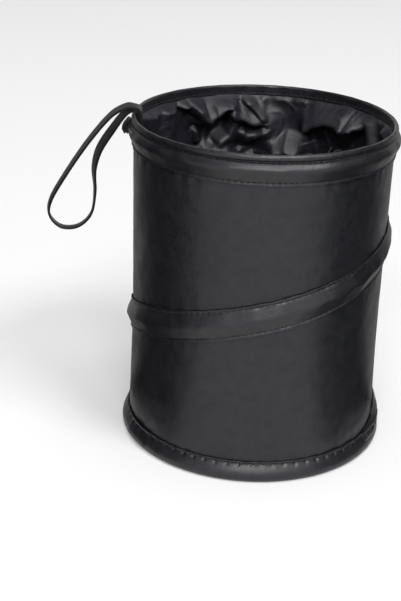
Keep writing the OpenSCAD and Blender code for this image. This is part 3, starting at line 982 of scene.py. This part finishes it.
def make_liner():
    back = np.linspace(LINER_BACK_FROM, LINER_BACK_TO, 264, endpoint=False)
    front = np.linspace(LINER_BACK_TO, LINER_BACK_FROM + TURN, 72, endpoint=False)
    angles = np.concatenate([back, front])
    heights = np.concatenate([
        np.linspace(CLOTH_TOP_Z, FACING_LOW + 2, 3, endpoint=False),
        np.linspace(FACING_LOW + 2, LINER_FINE_TO, 66, endpoint=False),
        np.linspace(LINER_FINE_TO, LINER_FOOT_Z, 30, endpoint=False), [LINER_FOOT_Z]])
    a, z = np.meshgrid(angles, heights, indexing="ij")
    reach, drop = liner_shape(a, z)
    r = wall_r(z) - WALL_T - LAYER_GAP - reach
    rings = np.linspace(0, 1, 18)[1:]
    edge_r = r[:, -1:]
    floor_r = edge_r * (1 - rings) + 0.5
    floor_a = angles[:, None]
    away = edge_r - floor_r
    bulge = 1.6 + 1.1 * flat_waves(floor_r, floor_a, 83, 40)
    floor_z = (LINER_FLOOR_Z + LINER_T + (LINER_FOOT_Z - LINER_FLOOR_Z) * np.exp(-away / 3.5)
               + np.clip(bulge, 0, 5) * (1 - np.exp(-away / 8)))
    points = np.concatenate([polar(r, a, z - drop), polar(floor_r, floor_a, floor_z)], 1)
    run = run_of(points).mean(0)
    along = girth_at(np.append(angles, angles[0] + TURN))
    liner = piece("inner_liner", points, along, np.append(run, run[-1] + 1), LINER_CLOTH,
                  ring_rows=True, hub=True, sharp=80)
    return thicken(liner, LINER_T)


# Bottom cloth

def make_bottom():
    rings = np.concatenate([np.linspace(0.4, 60, 26), np.linspace(62, FOOT_R - WALL_T, 14)])
    angles = np.arange(180) * 2.0
    a, r = np.meshgrid(angles, rings, indexing="ij")
    step = ease((r - (BASE_CORNER_AT - BASE_FOLD_W - 3)) / 2.6) * (TAPE_T + LAYER_GAP)
    free = ease((66 - r) / 10)
    z = step + free * np.clip(0.15 + 0.2 * flat_waves(r, a, 91, 45), 0, 0.6)
    bottom = piece("bottom_cloth", polar(r, a, z + WALL_T), np.append(angles, TURN),
                   np.append(rings, RIM_R), BASE_CLOTH, ring_rows=True)
    return thicken(bottom, WALL_T * 0.9)


# Strap

TAIL_T = 1.6
# Middle line of the strap as (outwards from the wall, up from the rim)
STRAP_POINTS = [
    (-4.6, -7.5), (-4.6, -5), (-4.6, -1.6), (-3.7125, 1.973), (0.245, 3.2775), (5, 2.85),
    (14, -3.2), (27.2, -19.6), (40.7, -40.2), (49.6, -56.5), (50.4, -66.4), (43.4, -73.3),
    (33, -72.4), (25, -64), (22.8, -50), (23.3, -36), (20.1, -23.4), (12.2, -10.6), (5.2, -1.15),
    (0.4, 1.65), (-2.55, 0.95), (-3.05, -1.6), (-3.05, -5), (-3.05, -7.5),
]
# Turn of the strap about its own run, as (share of its length, degrees)
STRAP_ROLL = [(0, 0), (0.15, 0), (0.3, 12), (0.45, 14), (0.52, 4), (0.62, -16), (0.7, -24),
              (0.78, -14), (0.86, 0), (1, 0)]


def smooth_path(points, steps):
    """A curve through all the points."""
    points = np.pad(np.asarray(points, float), ((1, 1), (0, 0)), mode="edge")
    t = np.arange(steps)[:, None] / steps
    spans = [0.5 * (2 * b + (c - a) * t + (2 * a - 5 * b + 4 * c - d) * t * t
                    + (3 * b - a - 3 * c + d) * t**3)
             for a, b, c, d in zip(points, points[1:], points[2:], points[3:])]
    return np.concatenate([*spans, points[-1:]])


def strap_section(width, thick):
    """Outline of a tape folded in two: round fold on one side, two edges on the other."""
    half_w, half_t = width / 2, thick / 2
    face = np.linspace(-1, 1, 9)
    crown = 0.12 * (1 - face**2)
    top = np.stack([face * (half_w - half_t), half_t + crown], 1)
    turns = np.radians(np.arange(75, -76, -25))
    fold = np.stack([half_w - half_t + half_t * np.cos(turns), half_t * np.sin(turns)], 1)
    bottom = np.stack([face[::-1] * (half_w - half_t), -half_t - crown[::-1]], 1)
    lips = np.array([[-0.55, 0.95], [-0.95, 0.75], [-1, 0.5], [-0.85, 0.22]]) * half_t
    lips = lips - [half_w - half_t, 0]
    inside = np.stack([face[::-1] * (half_w - 1.5 * half_t), np.full(9, 0.08 * half_t)], 1)
    low_side = np.concatenate([lips, inside[::-1]]) * [1, -1]
    return np.concatenate([top, fold, bottom, low_side, inside, lips[::-1]])


def strap_piece(name, path, roll, thick):
    """A folded tape along a path in the strap's plane, [outwards, up]."""
    step = heading(path)
    section = strap_section(STRAP_W, thick)
    side, lift = rotated(section[:, 0], section[:, 1], roll[:, None])
    out = RIM_R + path[:, None, 0] - lift * step[:, None, 1]
    up = BIN_H + path[:, None, 1] + lift * step[:, None, 0]
    run = run_of(path)
    return piece(name, np.stack([*rotated(-out, side, STRAP_TURN), up], -1),
                 np.append(run, run[-1] + 1), section_length(section), STRAP_TAPE,
                 ring_cols=True, end_lids=True)


def make_strap():
    path = smooth_path(STRAP_POINTS, 10)
    share = np.linspace(0, 1, len(path))
    roll = np.interp(share, *zip(*STRAP_ROLL))
    roll = np.convolve(np.pad(roll, 8, mode="edge"), np.ones(17) / 17, mode="valid")
    roll = roll + 1.5 * ripple(share * 200, 95, 9)
    return strap_piece("hang_strap_tape", path, roll, STRAP_T)


def make_tail():
    """The strap's end, folded over and sewn outside the rim band."""
    near_h = np.array([-12.2, -10.4, -8.6, -6.8, -5.6])
    far_h = np.array([-6, -7.5, -9.2, -10.8, -12])
    bulge = np.array([1.6, 1.85, 1.95, 1.85, 1.6])
    band = rim_r_plain(180 + STRAP_TURN, BIN_H + np.append(near_h, far_h)) - RIM_R + TAPE_T / 2
    near = np.stack([band[:5] + TAIL_T / 2, near_h], 1)
    far = np.stack([band[5:] + TAIL_T / 2 + bulge, far_h], 1)
    top = [[(near[-1, 0] + far[0, 0]) / 2, near_h[-1] + 0.8]]
    path = smooth_path(np.concatenate([near, top, far]), 4)
    return strap_piece("strap_tail_fold", path, np.zeros(len(path)), TAIL_T)


# Wire

def make_wire():
    past = FERRULE_AWAY + TURN + 3
    angles = np.linspace(RAMP_START - past, RAMP_END + past, 900)
    z = wire_z(angles)
    path = polar(wall_r(z) + LAYER_GAP + CHANNEL_H / 2, angles, z)
    points = tube(path, WIRE_D / 2, sides=10)
    along = girth_at(np.append(angles, angles[-1]))
    return piece("wire_coil", points, along, np.linspace(0, 5, 11), STEEL,
                 ring_cols=True, end_lids=True)


# Stage, lamps and camera

FOCAL_PIXELS = 1274.2
FRAME_HEIGHT = 601
SENSOR = 36
CAMERA_AT = (0.015, -0.729, 0.3982)
CAMERA_YAW = -0.0674
CAMERA_PITCH = 0.4107
CAMERA_ROLL = 0.0337


def make_camera():
    data = bpy.data.cameras.new("camera")
    data.sensor_width = SENSOR
    data.lens = SENSOR * FOCAL_PIXELS / FRAME_HEIGHT
    camera = new_object("camera", data)
    yaw = Matrix.Rotation(-CAMERA_YAW, 4, "Z")
    pitch = Matrix.Rotation(math.pi / 2 - CAMERA_PITCH, 4, "X")
    roll = Matrix.Rotation(CAMERA_ROLL, 4, "Z")
    camera.matrix_world = Matrix.Translation(CAMERA_AT) @ yaw @ pitch @ roll
    bpy.context.scene.camera = camera


AMBIENT = 0.27
FLOOR_ALBEDO = 0.66
FLOOR_GLOW = 0.18
FLOOR_CORNERS = [(-4, -4, 0), (4, -4, 0), (4, 4, 0), (-4, 4, 0)]


def make_world():
    world = bpy.data.worlds.new("studio")
    world.use_nodes = True
    bpy.context.scene.world = world
    nodes = Nodes(world.node_tree)
    sky = nodes.tree.nodes["Background"]
    nodes.feed(sky, "Color", (1, 1, 1, 1))
    nodes.feed(sky, "Strength", nodes.spread(nodes.seen_directly(), AMBIENT, 1))


def make_floor():
    look = Look("floor", (FLOOR_ALBEDO,) * 3, roughness=1, specular=0)
    look.set("Emission Color", (1, 1, 1, 1))
    look.set("Emission Strength", look.spread(look.seen_directly(), 0, FLOOR_GLOW))
    add_mesh("floor", FLOOR_CORNERS, [(0, 1, 2, 3)], look.material)


def make_card(name, azimuths, profile, level=0):
    """A dark card bent round the bin, from a profile of (radius, height) in metres.

    The bin's gloss shows it, at `level` of the sky, and it dims nothing else."""
    turns = np.radians(np.linspace(*azimuths, 25))
    points = [(r * math.sin(t), -r * math.cos(t), z) for r, z in profile for t in turns]
    faces = grid_faces(len(profile), len(turns), False, False)[0].tolist()
    look = Look(name, (0, 0, 0), roughness=0.5, specular=0)
    look.set("Emission Color", (1, 1, 1, 1))
    look.set("Emission Strength", level)
    card = add_mesh(name, points, faces, look.material)
    for ray in ("camera", "diffuse", "transmission", "shadow"):
        setattr(card, f"visible_{ray}", False)


def make_cards():
    side = [(0.1, 0.001), (0.2, 0.001), (0.2, 0.5)]
    make_card("card_far_left", (-150, -107), side, 0.5)
    make_card("card_left", (-107, -44), side)
    make_card("card_right", (49, 110), side)
    make_card("card_far_right", (110, 150), side, 0.55)
    lifts = np.radians(np.linspace(30, 90, 9))
    make_card("card_above", (-180, 180), [(7 * math.cos(e), 7 * math.sin(e)) for e in lifts])


def make_panel(name, azimuth, elevation, width, height, level):
    """A soft panel that faces the bin. Azimuth 0 is in front, and 90 is to the right.

    A white surface square to it at the bin shows `level`."""
    away = 5
    target = Vector((0, 0, BIN_H / 2 * MM))
    a, e = math.radians(azimuth), math.radians(elevation)
    toward = Vector((math.sin(a) * math.cos(e), -math.cos(a) * math.cos(e), math.sin(e)))
    data = bpy.data.lights.new(name, "AREA")
    data.shape = "RECTANGLE"
    data.size = width
    data.size_y = height
    data.energy = level * math.pi**2 * away**2
    lamp = new_object(name, data)
    lamp.location = target + toward * away
    lamp.rotation_euler = toward.to_track_quat("Z", "Y").to_euler()


def make_lamps():
    make_panel("key", 50, 50, width=1.6, height=1.2, level=0.46)
    make_panel("front", 2, 42, width=2.6, height=0.9, level=0.54)
    make_panel("top", 15, 84, width=3.4, height=3.4, level=0.42)


# Assembly

def follow_rim(obj, low, high):
    """A cloth piece of the base, given a mesh of its own."""
    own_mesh(obj)


def dress(obj, body, node):
    """The piece rides on a body, in place of a solid if any."""
    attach(obj, body)
    if node:
        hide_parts(node)
    return obj


def span_z(obj):
    heights = [v.co.z / MM for v in obj.data.vertices]
    return min(heights), max(heights)


bpy.context.scene.view_settings.view_transform = "Standard"
make_camera()
make_world()
make_floor()
make_cards()
make_lamps()

wall = dress(make_wall(), "base", "wall")
rim = dress(make_rim(), "rim", "rim_band")
spiral = dress(make_spiral(), "base", "spiral_band")
base_band = dress(make_base_band(), "base", "base_band")
dress(make_rim_stitches(), "rim", "rim_threads")
spiral_seams = dress(make_spiral_stitches(), "base", "spiral_threads")
dress(make_base_stitches(), "base", "base_thread")
liner = dress(make_liner(), "base", "liner")
bottom = dress(make_bottom(), "base", "base_cloth")
strap = dress(make_strap(), "rim", "hang_strap")
tail = dress(make_tail(), "rim", "strap_tail")
wire = dress(make_wire(), "base", "spring_wire")
wall_lap, wall_seams = make_wall_seam()
dress(wall_lap, "base", None)
dress(wall_seams, "base", None)
for node in ("lower_ferrule", "upper_ferrule"):
    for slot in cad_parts[node].material_slots:
        slot.material = FERRULE

for obj in (wall, spiral, liner, wire):
    follow_rim(obj, *span_z(obj))
follow_rim(spiral_seams, span_z(spiral_seams)[0], RIM_LOW)
for obj in (wall_lap, wall_seams):
    follow_rim(obj, *span_z(wall))
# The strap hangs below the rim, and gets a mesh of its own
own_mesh(strap)
